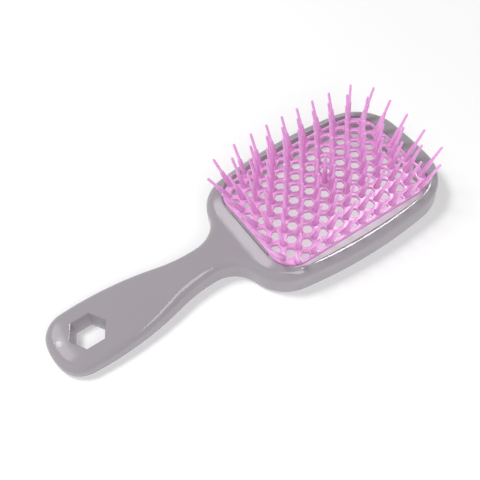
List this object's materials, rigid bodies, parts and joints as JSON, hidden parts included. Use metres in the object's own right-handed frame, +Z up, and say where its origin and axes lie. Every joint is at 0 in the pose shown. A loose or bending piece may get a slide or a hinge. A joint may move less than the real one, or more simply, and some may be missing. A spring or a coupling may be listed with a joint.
{
  "type": "detangling brush",
  "caption": "Vented detangling hairbrush: rounded frame with a flat handle and hexagonal hanging hole round a springy honeycomb bed of stepped pins that fan outward",
  "frame": {"origin": "middle of the overall box, on the plane that the back rests on", "axes": "+X from the handle to the head, +Y to the left seen from the handle, +Z up out of the back, the way the pins point"},
  "size_m": [0.2048, 0.077, 0.0363],
  "materials": {
    "frame": "glossy warm grey moulded plastic",
    "bed": "satin pink flexible moulded plastic"
  },
  "bodies": {
    "frame": {"front_shell": "frame", "back_shell": "frame"},
    "bed": {"honeycomb_bed": "bed", "pin_row_01": "bed", "pin_row_02": "bed", "pin_row_03": "bed", "pin_row_04": "bed", "pin_row_05": "bed", "pin_row_06": "bed", "pin_row_07": "bed", "pin_row_08": "bed", "pin_row_09": "bed", "pin_row_10": "bed", "pin_row_11": "bed"}
  },
  "joints": [
    {"name": "bed_give", "type": "slide", "parent": "frame", "child": "bed", "axis": [0, 0, -1], "range_m": [0, 0.0025], "stiffness_N_per_m": 2000}
  ]
}
